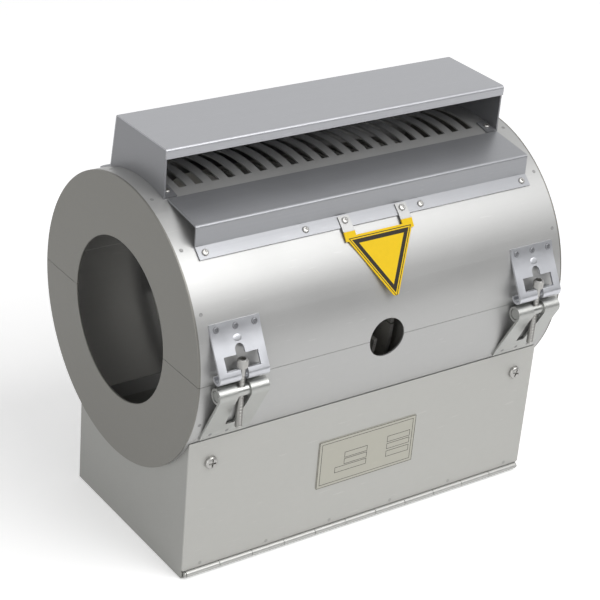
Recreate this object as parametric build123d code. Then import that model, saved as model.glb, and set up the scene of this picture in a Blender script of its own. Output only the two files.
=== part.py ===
from build123d import *
import math
import os

# Air-cooled heater for an extruder barrel: a split round shroud on a box-shaped base.
# Millimetres. The barrel runs along X, the front looks along -Y, up is +Z.
# The origin is on the underside of the base, at the centre of the air inlet.

# Base
base_length = 300.0
base_depth = 145.0
base_sheet = 1.2
front_flange_width = 24.0
back_flange_width = 11.0
inlet_diameter = 90.0
inlet_screw_pitch = 104.0
inlet_screw_hole = 6.6

# Barrel axis
axis_setback = 18.0
axis_height = 158.7

# Shroud
shroud_radius = 103.0
shroud_overhang = 4.0
shroud_length = base_length + 2 * shroud_overhang
shell_sheet = 1.2
end_plate_sheet = 1.5
barrel_hole_diameter = 117.0
split_gap = 0.3
floor_opening_margin = 12.0
floor_opening_length = base_length - 2 * floor_opening_margin
floor_lip_height = 12.0
thermocouple_hole_diameter = 29.0
thermocouple_x = -3.0

# Hood over the air outlet slots
hood_end_margin = 9.5
hood_length = base_length - 2 * hood_end_margin
hood_front = 30.0
hood_back = 35.0
hood_back_foot = 41.0
hood_rise = 31.3
hood_height = shroud_radius + hood_rise
hood_lip = 7.0
hood_sheet = 1.2
hood_bend = 1.0
hood_foot_angle = 8.0
cheek_sheet = 1.2
cheek_tab = 10.0

# Air outlet slots
slot_count = 20
slot_end_margin = 19.565
slot_pitch = (hood_length - 2 * slot_end_margin) / (slot_count - 1)
slot_width = 6.0
slot_reach_front = 20.5
slot_reach_back = 26.0

# Deflector in front of the hood
deflector_end_margin = 11.5
deflector_length = base_length - 2 * deflector_end_margin
deflector_front = 66.0
deflector_drop = 4.6
deflector_sheet = 1.2
deflector_foot_angle = 45.7
deflector_screw_angle = 48.1
deflector_screw_x = (-133.0, -55.0, 41.0, 132.5)

# Triangular plate that hangs from the deflector
triangle_width = 56.6
triangle_x = 0.5
triangle_sheet = 0.8
triangle_tilt = 56.0
triangle_tab_width = 9.0
triangle_tab_span = 48.0
triangle_tab_end_angle = 42.0
triangle_corner = 3.0
triangle_ear_height = 3.5

# Door and its long hinge
door_sheet = 1.2
door_gap = 0.5
# The door reaches up to the shroud, or to the axis where its face is in front of the whole shroud
door_head = axis_height - math.sqrt(max(0.0, shroud_radius**2 - (base_depth / 2 + axis_setback) ** 2))
door_screw_side = 17.5
door_screw_x = base_length / 2 - door_screw_side
door_screw_drop = 19.5192
door_screw_z = door_head - door_screw_drop
hinge_end_margin = 2.5
hinge_length = base_length - 2 * hinge_end_margin
hinge_knuckles = 11
hinge_sheet = 0.9
hinge_pin_radius = 1.4
hinge_pin_fit = 0.05
hinge_leaf_height = 13.0
hinge_leaf_depth = 20.0
knuckle_gap = 0.4
nameplate_width = 85.0
nameplate_height = 38.6
nameplate_drop = 50.2192
nameplate_z = door_head - nameplate_drop
nameplate_sheet = 0.6

# Screws
door_screw_radius = 2.5
door_screw_head_radius = 5.0
door_screw_head_height = 3.2
door_screw_length = 6.0
door_screw_room = 0.4
clinch_nut_radius = 4.5
clinch_nut_height = 3.0
small_screw_radius = 1.5
small_screw_head_radius = 3.0
small_screw_head_height = 1.6
small_screw_length = 6.0
screw_fit = 0.05

# Latches
latch_side = 24.6
latch_x = base_length / 2 - latch_side
latch_width = 38.0
latch_sheet = 1.5
trunnion_stand_off = 6.3
trunnion_out = shroud_radius + trunnion_stand_off
trunnion_drop = 5.2
trunnion_radius = 4.0
trunnion_fit = 0.05
roll_stand_off = 6.0
roll_out = shroud_radius + roll_stand_off
roll_rise = 7.4
roll_radius = 4.5
hook_top_angle = 22.7
hook_leave_angle = 18.0
hook_rivet_angle = 20.5
hook_rivet_spacing = 14.6
window_width = 26.0
window_bottom = 12.0
window_top = 20.5
key_slot_width = 7.0
key_slot_top = 26.5
bolt_radius = 2.5
bolt_fit = 0.05
bolt_head_radius = 4.25
bolt_head_height = 5.0
bolt_length = 48.0
bolt_seat_gap = 0.3
bolt_key_size = 4.0
bracket_foot_angle = 23.6
bracket_foot_pad = 3.4
bracket_mouth = 10.0
bracket_notch_depth = 30.5
rivet_radius = 1.5
rivet_head_radius = 2.3
rivet_head_height = 0.8

# Heater castings inside the shroud
casting_length = 160.0
casting_bore = 111.0
casting_wall = 14.5
casting_split = 1.0
fin_gap = 13.8
fin_radius = shroud_radius - shell_sheet - fin_gap
fin_thickness = 2.6
ear_length = 18.0
ear_height = 14.0
clamp_from_end = 21.0
clamp_x = casting_length / 2 - clamp_from_end
clamp_room = 12.0
clamp_out = casting_bore / 2 + casting_wall + clamp_room
ear_rim = 10.0
ear_reach = clamp_out + ear_rim
clamp_bolt_radius = 4.0
clamp_head_radius = 6.5
clamp_head_height = 8.0
clamp_nut_height = 6.5
clamp_fit = 0.2
terminal_from_end = 35.44
terminal_x = casting_length / 2 - terminal_from_end
lower_terminal_angle = -90.0
upper_terminal_angle = 168.0
terminal_room = 2.0
insulator_radius = 6.0
insulator_height = 14.0
stud_radius = 2.5
stud_length = 11.0
stud_nut_radius = 4.6
stud_nut_height = 4.0
saddle_from_end = 9.97
saddle_x = casting_length / 2 - saddle_from_end
saddle_sheet = 2.0
saddle_top_angle = 24.0
saddle_low_angle = 58.0
saddle_web_step = 8.0
saddle_web_radius = fin_radius - saddle_web_step

# Small clearances
weld_gap = 0.05
seat_gap = 0.3

# Sizes worked out from the driving dimensions
half_length = shroud_length / 2
shell_length = shroud_length - 2 * end_plate_sheet
shell_inside = shroud_radius - shell_sheet
half_base = base_length / 2
front_face = -base_depth / 2
back_face = base_depth / 2
door_inside = front_face + door_sheet
slot_ends = (-slot_reach_front, slot_reach_back)
hinge_radius = hinge_pin_radius + hinge_pin_fit + hinge_sheet
hinge_y = door_inside - hinge_radius + hinge_sheet
hinge_z = base_sheet + hinge_radius
thermocouple_radius = thermocouple_hole_diameter / 2
barrel_hole_radius = barrel_hole_diameter / 2
casting_inside = casting_bore / 2
casting_outside = casting_inside + casting_wall
half_open = back_face - base_sheet - weld_gap - axis_setback


def at_axis(shape):
    """Moves a shape from the barrel axis to its place over the base."""
    return Pos(0, axis_setback, axis_height) * shape


def along_x(face, length, centre=0.0):
    """Extrudes a YZ profile evenly about a station on the barrel axis."""
    return Pos(centre, 0, 0) * extrude(face, length / 2, both=True)


def block(x0, x1, y0, y1, z0, z1):
    """A box between two corners."""
    return Pos((x0 + x1) / 2, (y0 + y1) / 2, (z0 + z1) / 2) * Box(x1 - x0, y1 - y0, z1 - z0)


def ring_face(inner, outer):
    """A flat ring round the barrel axis."""
    return Plane.YZ * (Circle(outer) - Circle(inner))


def face_between(outer, inner):
    """The face between two open lines, closed by straight ends."""
    ends = Line(outer @ 0, inner @ 0).edges() + Line(outer @ 1, inner @ 1).edges()
    return make_face(outer.edges() + inner.edges() + ends)


def arc_band(inner, outer, start, end):
    """Part of a ring. Angles are degrees up from the back (+Y)."""
    low = CenterArc((0, 0), inner, start, end - start)
    high = CenterArc((0, 0), outer, start, end - start)
    return Plane.YZ * face_between(high, low)


def offset_points(points, distance):
    """A polyline beside another one, with mitred corners, to its left for a positive distance."""
    normals = []
    for (y0, z0), (y1, z1) in zip(points, points[1:]):
        run = math.hypot(y1 - y0, z1 - z0)
        normals.append((-(z1 - z0) / run, (y1 - y0) / run))
    result = []
    for index, (y, z) in enumerate(points):
        before = normals[max(index - 1, 0)]
        after = normals[min(index, len(normals) - 1)]
        scale = distance / (1 + before[0] * after[0] + before[1] * after[1])
        result.append((y + (before[0] + after[0]) * scale, z + (before[1] + after[1]) * scale))
    return result


def folded_sheet(points, thickness, bend):
    """The YZ section of a folded sheet. The points are its outside, the sheet lies to their left."""
    inside = offset_points(points, thickness)
    turns = []
    for a, b, c in zip(points, points[1:], points[2:]):
        turn = (b[0] - a[0]) * (c[1] - b[1]) - (b[1] - a[1]) * (c[0] - b[0])
        turns.append(turn)
    outer_radii = [bend + thickness if turn > 0 else bend for turn in turns]
    inner_radii = [bend if turn > 0 else bend + thickness for turn in turns]
    outer = FilletPolyline(*points, radius=outer_radii)
    inner = FilletPolyline(*inside, radius=inner_radii)
    return Plane.YZ * face_between(outer, inner)


def polygon(points):
    """A plain YZ polygon."""
    return Plane.YZ * make_face(Polyline(*points, close=True))


def height_at(radius, y):
    """Height above the axis of a round surface at a distance from it."""
    return math.sqrt(radius * radius - y * y)


def group(shapes):
    """Separate solids that share one name."""
    return Compound([solid for shape in shapes for solid in shape.solids()])


def front_polar(radius, angle):
    """Point on the front side of the shroud, at an angle above the split line."""
    a = math.radians(angle)
    return (-radius * math.cos(a), radius * math.sin(a))


def radial_cylinder(radius, start, end, angle, x=0.0):
    """A cylinder that points out from the axis on the front side, at an angle above the split."""
    length = end - start
    middle = (start + end) / 2
    rod = Pos(0, -middle, 0) * Rot(90, 0, 0) * Cylinder(radius, length)
    return Pos(x, 0, 0) * Rot(-angle, 0, 0) * rod


def shells():
    """The two rolled half shells."""
    full = along_x(ring_face(shell_inside, shroud_radius), shell_length)
    reach = shroud_radius * 2
    upper = full & block(-reach, reach, -reach, reach, split_gap / 2, reach)
    lower = full & block(-reach, reach, -reach, reach, -reach, -split_gap / 2)
    first = -slot_pitch * (slot_count - 1) / 2
    middle = (slot_ends[0] + slot_ends[1]) / 2
    for index in range(slot_count):
        cutter = Box(slot_width, slot_ends[1] - slot_ends[0], shroud_radius)
        upper -= Pos(first + index * slot_pitch, middle, shroud_radius) * cutter
    probe = radial_cylinder(thermocouple_radius, shell_inside - 10, shroud_radius + 5, 0, thermocouple_x)
    upper -= probe
    lower -= probe
    lower -= block(
        -floor_opening_length / 2, floor_opening_length / 2, -half_open, half_open, -reach, 0
    )
    lip_top = -height_at(shell_inside, half_open) + 0.4
    for side in (-1, 1):
        lip = Pos(0, side * (half_open - shell_sheet / 2), lip_top - floor_lip_height / 2) * Box(
            floor_opening_length, shell_sheet, floor_lip_height
        )
        lower += lip
    for cutter in small_screw_holes() + rivet_holes():
        upper -= cutter
    return upper, lower


def end_plates():
    """Ring-shaped end plates, each split at the height of the axis."""
    reach = shroud_radius * 2
    plates = {}
    for name, side in (("left", -1), ("right", 1)):
        centre = side * (half_length - end_plate_sheet / 2)
        full = along_x(ring_face(barrel_hole_radius, shroud_radius), end_plate_sheet, centre)
        full = chamfer(
            full.edges().filter_by(GeomType.CIRCLE).filter_by_position(
                Axis.X, centre + side * end_plate_sheet / 2 - 0.01, centre + side * end_plate_sheet / 2 + 0.01
            ),
            0.4,
        )
        plates["end_plate_upper_" + name] = full & block(-reach, reach, -reach, reach, split_gap / 2, reach)
        plates["end_plate_lower_" + name] = full & block(-reach, reach, -reach, reach, -reach, -split_gap / 2)
    return plates


def hood_shell():
    """Roof, back and front lip of the hood, folded from one sheet, with a foot along the shell."""
    foot_start = math.degrees(math.acos(hood_back_foot / (shroud_radius + weld_gap)))
    foot_z = height_at(shroud_radius + weld_gap, hood_back_foot)
    lip_end = (-hood_front, hood_height - hood_lip)
    points = [
        (hood_back_foot, foot_z + 0.3),
        (hood_back, hood_height),
        (-hood_front, hood_height),
        lip_end,
    ]
    section = folded_sheet(points, hood_sheet, hood_bend)
    foot = arc_band(
        shroud_radius + weld_gap,
        shroud_radius + weld_gap + hood_sheet,
        foot_start - hood_foot_angle,
        foot_start + 0.6,
    )
    section = section - Plane.YZ * Circle(shroud_radius + weld_gap)
    return along_x(section + foot, hood_length)


def hood_cheek(side):
    """End wall of the hood, with a tab under the roof and one that stands on the shell."""
    inner_back = hood_back - hood_sheet - weld_gap
    slope = (hood_back_foot - hood_back) / (hood_height - height_at(shroud_radius, hood_back_foot))
    roof = hood_height - hood_sheet - weld_gap
    base_radius = shroud_radius + weld_gap
    front = -hood_front + hood_sheet + weld_gap
    foot_depth = roof - height_at(base_radius, hood_back) + 6
    outline = polygon([
        (front, 60),
        (front, roof),
        (inner_back, roof),
        (inner_back + slope * foot_depth, roof - foot_depth),
        (inner_back + slope * foot_depth, 60),
    ])
    outline = fillet(outline.vertices().group_by(Axis.Z)[-1], hood_bend + 0.3)
    outline = outline - Plane.YZ * Circle(base_radius)
    x_out = side * (hood_length / 2 - cheek_sheet / 2)
    wall = along_x(outline, cheek_sheet, x_out)
    tab_x = side * (hood_length / 2 - cheek_tab / 2)
    front_angle = math.degrees(math.acos(front / base_radius))
    foot = along_x(
        arc_band(base_radius, base_radius + cheek_sheet, front_angle - 7, front_angle), cheek_tab, tab_x
    )
    top = block(
        min(tab_x - cheek_tab / 2, tab_x + cheek_tab / 2), max(tab_x - cheek_tab / 2, tab_x + cheek_tab / 2),
        -12, 12, roof - cheek_sheet, roof,
    )
    screw = radial_cylinder(
        small_screw_radius + screw_fit, shell_inside - 1, shroud_radius + 5, 180 - cheek_screw_angle(),
        cheek_screw_x(side)
    )
    return wall + foot + top - screw


def cheek_screw_angle():
    """Angle of the cheek screws, up from the back."""
    front = -hood_front + hood_sheet + weld_gap
    return math.degrees(math.acos(front / (shroud_radius + weld_gap))) - 3.6


def cheek_screw_x(side):
    """Station of a cheek screw."""
    return side * (hood_length / 2 - cheek_tab / 2 - cheek_sheet / 2)


def deflector():
    """Folded deflector: a near level top, an upright front and a foot screwed to the shell."""
    base_radius = shroud_radius + weld_gap
    back_z = height_at(base_radius, hood_front)
    front_z = back_z - deflector_drop
    face_bottom = height_at(base_radius, deflector_front)
    foot_start = math.degrees(math.acos(-deflector_front / base_radius))
    points = [
        (-hood_front - 0.2, back_z + deflector_sheet),
        (-deflector_front, front_z + deflector_sheet),
        (-deflector_front, face_bottom - 1),
    ]
    section = folded_sheet(points, deflector_sheet, 0.8)
    foot = arc_band(base_radius, base_radius + deflector_sheet, foot_start - 1.2, 180 - deflector_foot_angle)
    section = section - Plane.YZ * Circle(base_radius)
    body = along_x(section + foot, deflector_length)
    for x in flange_screw_stations():
        body -= radial_cylinder(
            small_screw_radius + screw_fit, shell_inside, shroud_radius + 6, deflector_screw_angle, x
        )
    return body


def tab_stations():
    """Centres of the two tabs of the triangular plate."""
    return [triangle_x + side * triangle_tab_span / 2 for side in (-1, 1)]


def flange_screw_stations():
    """Stations of the screws through the deflector's foot, the two tabs included."""
    return list(deflector_screw_x) + tab_stations()


def triangle_plate():
    """Triangular plate with two ears and two tabs, folded from one sheet."""
    tab_inner = shroud_radius + weld_gap + deflector_sheet + weld_gap
    tab_outer = tab_inner + triangle_sheet
    tabs = None
    for x in tab_stations():
        tab = along_x(
            arc_band(tab_inner, tab_outer, 180 - deflector_screw_angle - 2.0, 180 - triangle_tab_end_angle),
            triangle_tab_width, x,
        )
        tab -= radial_cylinder(
            small_screw_radius + screw_fit, shell_inside, shroud_radius + 6, deflector_screw_angle, x
        )
        tabs = tab if tabs is None else tabs + tab
    y, z = front_polar((tab_inner + tab_outer) / 2, triangle_tab_end_angle)
    tilt = math.radians(triangle_tilt)
    down = Vector(0, -math.cos(tilt), -math.sin(tilt))
    face_plane = Plane(origin=(triangle_x, y, z), x_dir=(1, 0, 0), z_dir=Vector(1, 0, 0).cross(down))
    half = triangle_width / 2
    depth = triangle_width * math.sqrt(3) / 2
    outline = Polyline((-half, 0), (half, 0), (0, depth), close=True)
    outline = make_face(outline)
    plate = fillet(outline.vertices(), triangle_corner)
    for side in (-1, 1):
        plate += Pos(side * triangle_tab_span / 2, 0) * Rectangle(triangle_tab_width, 2 * triangle_ear_height)
    sheet = extrude(face_plane * plate, triangle_sheet / 2, both=True)
    return tabs + sheet


def at_round(radius):
    """A long round bar on the barrel axis, to trim what must clear the shroud."""
    return Rot(0, 90, 0) * Cylinder(radius, shroud_length * 2)


def small_screw_holes():
    """Holes in the upper shell for the deflector and cheek screws."""
    holes = []
    for x in flange_screw_stations():
        holes.append(radial_cylinder(
            small_screw_radius + screw_fit, shell_inside - 2, shroud_radius + 1, deflector_screw_angle, x
        ))
    for side in (-1, 1):
        holes.append(radial_cylinder(
            small_screw_radius + screw_fit, shell_inside - 2, shroud_radius + 1,
            180 - cheek_screw_angle(), cheek_screw_x(side),
        ))
    return holes


def small_screw(seat_radius, angle, x):
    """A small pan-head screw that points at the barrel axis."""
    head = radial_cylinder(
        small_screw_head_radius, seat_radius + seat_gap / 6,
        seat_radius + seat_gap / 6 + small_screw_head_height, angle, x,
    )
    shank = radial_cylinder(
        small_screw_radius, seat_radius - small_screw_length, seat_radius + small_screw_head_height / 2,
        angle, x
    )
    head = fillet(head.edges().filter_by(GeomType.CIRCLE).sort_by(radial_distance)[-1], 1.0)
    return head + shank


def radial_distance(edge):
    """Distance of an edge from the barrel axis."""
    centre = edge.arc_center
    return math.hypot(centre.Y, centre.Z)


def flange_screws():
    """Screws through the deflector's foot, two of them through the tabs of the plate."""
    seat = shroud_radius + weld_gap + deflector_sheet
    screws = [small_screw(seat, deflector_screw_angle, x) for x in deflector_screw_x]
    tab_seat = seat + weld_gap + triangle_sheet
    screws += [small_screw(tab_seat, deflector_screw_angle, x) for x in tab_stations()]
    return group([at_axis(screw) for screw in screws])


def cheek_screws():
    """The screws that hold the feet of the hood's end walls."""
    seat = shroud_radius + weld_gap + cheek_sheet
    screws = []
    for side in (-1, 1):
        screws.append(small_screw(seat, 180 - cheek_screw_angle(), cheek_screw_x(side)))
    return group([at_axis(screw) for screw in screws])


def base_trim():
    """What the base sheets leave free for the shroud."""
    return at_axis(at_round(shroud_radius + weld_gap))


def base_tray():
    """Floor and two side walls in one folded sheet, with flanges at the front and back edges."""
    top = axis_height
    tray = block(-half_base, half_base, door_inside, back_face, 0, base_sheet)
    flange_foot = hinge_z + hinge_leaf_height + 1.3
    for side in (-1, 1):
        outer = side * half_base
        inner = side * (half_base - base_sheet)
        wall = block(min(outer, inner), max(outer, inner), door_inside, back_face, 0, top)
        wall -= block(
            -half_base * 2, half_base * 2, front_face * 2, door_inside + seat_gap,
            -1, base_sheet + 2 * hinge_radius + seat_gap,
        )
        edge = side * (half_base - front_flange_width)
        flange = block(
            min(outer, edge), max(outer, edge), door_inside, door_inside + base_sheet, flange_foot, top
        )
        back_edge = side * (half_base - back_flange_width)
        back_flange = block(
            min(outer, back_edge), max(outer, back_edge), back_face - 2 * base_sheet - weld_gap,
            back_face - base_sheet - weld_gap, base_sheet + weld_gap, top,
        )
        tray += wall + flange + back_flange
        tray -= Pos(side * door_screw_x, door_inside, door_screw_z) * Rot(90, 0, 0) * Cylinder(
            door_screw_radius + door_screw_room, 10
        )
    tray -= Cylinder(inlet_diameter / 2, 4 * base_sheet)
    for x in (-1, 1):
        for y in (-1, 1):
            tray -= Pos(x * inlet_screw_pitch / 2, y * inlet_screw_pitch / 2, 0) * Cylinder(
                inlet_screw_hole / 2, 4 * base_sheet
            )
    return tray - base_trim()


def back_panel():
    """Flat back wall between the side walls. Its top edge follows the shell."""
    inner = half_base - base_sheet - weld_gap
    panel = block(-inner, inner, back_face - base_sheet, back_face, base_sheet + weld_gap, axis_height)
    return panel - base_trim()


def door():
    """Front door. Its top edge follows the shell."""
    bottom = hinge_z + hinge_radius + knuckle_gap
    panel = block(-half_base, half_base, front_face, door_inside, bottom, axis_height)
    panel -= at_axis(at_round(shroud_radius + door_gap))
    for side in (-1, 1):
        panel -= Pos(side * door_screw_x, front_face, door_screw_z) * Rot(90, 0, 0) * Cylinder(
            door_screw_radius + screw_fit, 6
        )
    upright = panel.edges().filter_by(Axis.Y)
    return fillet(upright.group_by(Axis.Z)[0], 1.5)


def hinge_knuckle_spans():
    """Start and end of each knuckle, from the left."""
    pitch = hinge_length / hinge_knuckles
    start = -hinge_length / 2
    return [
        (start + index * pitch + knuckle_gap / 2, start + (index + 1) * pitch - knuckle_gap / 2)
        for index in range(hinge_knuckles)
    ]


def hinge_barrel(x0, x1):
    """One rolled knuckle, without its bore."""
    return Pos((x0 + x1) / 2, hinge_y, hinge_z) * Rot(0, 90, 0) * Cylinder(hinge_radius, x1 - x0)


def hinge_leaf(first):
    """One leaf of the hinge. The even knuckles are the base's, the odd ones the door's."""
    spans = hinge_knuckle_spans()
    half = hinge_length / 2 - knuckle_gap / 2
    reach = hinge_radius + knuckle_gap
    if first == 0:
        leaf = block(
            -half, half, hinge_y, hinge_y + hinge_leaf_depth,
            hinge_z - hinge_radius, hinge_z - hinge_radius + hinge_sheet
        )
    else:
        leaf = block(
            -half, half, door_inside, door_inside + hinge_sheet, hinge_z, hinge_z + hinge_leaf_height
        )
    for index, (x0, x1) in enumerate(spans):
        if index % 2 == first:
            leaf += hinge_barrel(x0, x1)
        else:
            leaf -= block(
                x0 - knuckle_gap, x1 + knuckle_gap, hinge_y - reach, hinge_y + reach,
                hinge_z - reach, hinge_z + reach
            )
    pin_room = Cylinder(hinge_pin_radius + hinge_pin_fit, hinge_length * 1.1)
    bore = Pos(0, hinge_y, hinge_z) * Rot(0, 90, 0) * pin_room
    return leaf - bore


def hinge_pin():
    """The wire through all the knuckles, with its ends upset."""
    pin = Rot(0, 90, 0) * Cylinder(hinge_pin_radius, hinge_length + 0.8)
    for side in (-1, 1):
        button = Cylinder(hinge_pin_radius + 0.5, 0.8)
        pin += Pos(side * (hinge_length / 2 + 0.6), 0, 0) * Rot(0, 90, 0) * button
    return Pos(0, hinge_y, hinge_z) * pin


def door_screws():
    """Two cross-recessed pan-head screws that stay in the door."""
    screws = []
    for side in (-1, 1):
        head = Cylinder(door_screw_head_radius, door_screw_head_height)
        head = fillet(head.edges().sort_by(Axis.Z)[-1], 2.2)
        head = Pos(0, 0, door_screw_head_height / 2) * head
        for turn in (0, 90):
            head -= Pos(0, 0, door_screw_head_height) * Rot(0, 0, turn) * Box(5.2, 1.1, 2.4)
        shank = Pos(0, 0, -door_screw_length / 2) * Cylinder(door_screw_radius, door_screw_length + 0.2)
        screw = Rot(90, 0, 0) * (head + shank)
        screws.append(Pos(side * door_screw_x, front_face - weld_gap, door_screw_z) * screw)
    return group(screws)


def clinch_nuts():
    """Nuts pressed on the back of the front flanges, for the door screws."""
    nuts = []
    for side in (-1, 1):
        nut = Cylinder(clinch_nut_radius, clinch_nut_height) - Cylinder(
            door_screw_radius + door_screw_room, clinch_nut_height * 2
        )
        y = door_inside + base_sheet + weld_gap + clinch_nut_height / 2
        nuts.append(Pos(side * door_screw_x, y, door_screw_z) * Rot(90, 0, 0) * nut)
    return group(nuts)


def nameplate():
    """Thin blank plate on the door."""
    plate = RectangleRounded(nameplate_width, nameplate_height, 1.0)
    sheet = extrude(Plane.XZ * plate, nameplate_sheet)
    return Pos(0, front_face - weld_gap, nameplate_z) * sheet


def latch_places():
    """The four latches: name, turn about the upright axis, and station."""
    return [
        ("front_left", 0, -latch_x),
        ("front_right", 0, latch_x),
        ("rear_left", 180, -latch_x),
        ("rear_right", 180, latch_x),
    ]


def place_latch(shape, turn, x):
    """Puts a latch piece, drawn on the front side, in one of its four places."""
    return at_axis(Pos(x, 0, 0) * Rot(0, 0, turn) * shape)


def rivet_holes():
    """Holes in the upper shell for the rivets of the hooks."""
    holes = []
    for _, turn, x in latch_places():
        for step in (-1, 0, 1):
            rod = radial_cylinder(
                rivet_radius + screw_fit, shell_inside - 2, shroud_radius + 1,
                hook_rivet_angle, step * hook_rivet_spacing,
            )
            holes.append(Pos(x, 0, 0) * Rot(0, 0, turn) * rod)
    return holes


def latch_hook():
    """Hook plate: a pad on the shell, a straight blade with a window, and a rolled lower edge."""
    inner = shroud_radius + weld_gap
    outer = inner + latch_sheet
    pad = arc_band(inner, outer, 180 - hook_top_angle, 180 - hook_leave_angle)
    centre = (-roll_out, roll_rise)
    top_outer = front_polar(outer, hook_leave_angle)
    top_inner = front_polar(inner, hook_leave_angle)
    away = math.hypot(top_outer[0] - centre[0], top_outer[1] - centre[1])
    heading = math.atan2(top_outer[1] - centre[1], top_outer[0] - centre[0])
    touch = heading + math.acos(roll_radius / away)
    unit = (math.cos(touch), math.sin(touch))
    low_outer = (centre[0] + roll_radius * unit[0], centre[1] + roll_radius * unit[1])
    roll_inner = roll_radius - latch_sheet
    low_inner = (centre[0] + roll_inner * unit[0], centre[1] + roll_inner * unit[1])
    blade = polygon([top_outer, low_outer, low_inner, top_inner])
    roll = Plane.YZ * (Pos(*centre) * (Circle(roll_radius) - Circle(roll_inner)))
    hook = along_x(pad + blade + roll, latch_width)
    reach = roll_out + 20
    behind = -shroud_radius * 0.9
    hook -= block(-window_width / 2, window_width / 2, -reach, behind, window_bottom, window_top)
    key_radius = key_slot_width / 2
    key = block(-key_radius, key_radius, -reach, behind, window_bottom, key_slot_top - key_radius)
    key += Pos(0, -reach + 20, key_slot_top - key_radius) * Rot(90, 0, 0) * Cylinder(key_radius, 40)
    hook -= key
    slot_back = -trunnion_out + bolt_radius + 0.5
    hook -= block(-key_radius, key_radius, -reach, slot_back, -reach, window_bottom + 1)
    for step in (-1, 0, 1):
        hook -= radial_cylinder(
            rivet_radius + screw_fit, inner - 3, outer + 3, hook_rivet_angle, step * hook_rivet_spacing
        )
    return hook


def hook_rivets():
    """Three rivets for each hook."""
    rivets = []
    seat = shroud_radius + weld_gap + latch_sheet
    for _, turn, x in latch_places():
        for step in (-1, 0, 1):
            station = step * hook_rivet_spacing
            head = radial_cylinder(
                rivet_head_radius, seat + 0.1, seat + 0.1 + rivet_head_height, hook_rivet_angle, station
            )
            shank = radial_cylinder(rivet_radius, shell_inside - 1.2, seat + 0.2, hook_rivet_angle, station)
            tail = radial_cylinder(
                rivet_head_radius, shell_inside - 1.6, shell_inside - 0.3, hook_rivet_angle, station
            )
            rivets.append(place_latch(head + shank + tail, turn, x))
    return group(rivets)


def latch_bracket():
    """Lower bracket: two knuckles for the trunnion, a sloping face and a pad on the shell."""
    centre = (-trunnion_out, -trunnion_drop)
    bore = trunnion_radius + trunnion_fit
    outer = bore + latch_sheet
    base = shroud_radius + weld_gap
    foot = front_polar(base, -bracket_foot_angle)
    foot_outer = front_polar(base + latch_sheet, -bracket_foot_angle)
    away = math.hypot(foot_outer[0] - centre[0], foot_outer[1] - centre[1])
    heading = math.atan2(foot_outer[1] - centre[1], foot_outer[0] - centre[0])
    touch = heading - math.acos(outer / away)
    unit = (math.cos(touch), math.sin(touch))
    top_outer = (centre[0] + outer * unit[0], centre[1] + outer * unit[1])
    middle_radius = outer - latch_sheet
    top_inner = (centre[0] + middle_radius * unit[0], centre[1] + middle_radius * unit[1])
    face = polygon([top_outer, foot_outer, foot, top_inner])
    ring = Plane.YZ * (Pos(*centre) * (Circle(outer) - Circle(bore)))
    pad_end = 180 + bracket_foot_angle + bracket_foot_pad
    pad = arc_band(base, base + latch_sheet, 180 + bracket_foot_angle - 0.8, pad_end)
    section = (ring + face - Plane.YZ * Circle(base) - Plane.YZ * (Pos(*centre) * Circle(bore))) + pad
    bracket = along_x(section, latch_width)
    reach = trunnion_out + 20
    half_mouth = bracket_mouth / 2
    notch_top = outer + 1
    bracket -= block(
        -half_mouth, half_mouth, -reach, -trunnion_out + outer + 3, -trunnion_drop - outer - 5, notch_top
    )
    tongue = make_face(Polyline(
        (-half_mouth, -trunnion_drop - outer - 4.99),
        (half_mouth, -trunnion_drop - outer - 4.99),
        (bolt_radius + 1.0, -trunnion_drop - bracket_notch_depth),
        (-bolt_radius - 1.0, -trunnion_drop - bracket_notch_depth),
        close=True,
    ))
    bracket -= extrude(Plane.XZ * tongue, reach)
    return bracket


def trunnion():
    """Round rod with a cross hole for the bolt."""
    rod = Rot(0, 90, 0) * Cylinder(trunnion_radius, latch_width - 1.0)
    rod = chamfer(rod.edges().filter_by(GeomType.CIRCLE), 0.4)
    rod -= Cylinder(bolt_radius + bolt_fit, 4 * trunnion_radius)
    return Pos(0, -trunnion_out, -trunnion_drop) * rod


def bolt_head_seat():
    """Height of the underside of the head above the trunnion."""
    return math.hypot(roll_out - trunnion_out, roll_rise + trunnion_drop) + roll_radius + bolt_seat_gap


def latch_bolt():
    """Socket-head cap bolt. Its head rests on the rolled edge of the hook."""
    seat = bolt_head_seat()
    head = Pos(0, 0, seat + bolt_head_height / 2) * Cylinder(bolt_head_radius, bolt_head_height)
    head = chamfer(head.edges().sort_by(Axis.Z)[-1], 0.5)
    head -= Pos(0, 0, seat + bolt_head_height - 1.25) * extrude(
        RegularPolygon(bolt_key_size / 2, 6, major_radius=False), 2.5, both=True
    )
    shank = Pos(0, 0, seat - bolt_length / 2) * Cylinder(bolt_radius, bolt_length)
    shank = chamfer(shank.edges().sort_by(Axis.Z)[0], 0.5)
    return Pos(0, -trunnion_out, -trunnion_drop) * (head + shank)


def fin_stations():
    """Fins stand under the bars between the air slots."""
    stations = []
    count = int(casting_length / 2 / slot_pitch)
    for index in range(-count, count + 1):
        stations.append(index * slot_pitch)
    return stations


def casting_blank():
    """Both heater halves as one round: the wall and its cooling fins."""
    half = casting_length / 2
    points = [(-half, casting_inside), (-half, casting_outside)]
    for x in fin_stations():
        if abs(x) + fin_thickness / 2 < half:
            points += [
                (x - fin_thickness / 2 - 0.6, casting_outside),
                (x - fin_thickness / 2, fin_radius),
                (x + fin_thickness / 2, fin_radius),
                (x + fin_thickness / 2 + 0.6, casting_outside),
            ]
    points += [(half, casting_outside), (half, casting_inside)]
    section = make_face(Plane.XZ * Polyline(*points, close=True))
    return revolve(section, Axis.X, 360)


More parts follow.
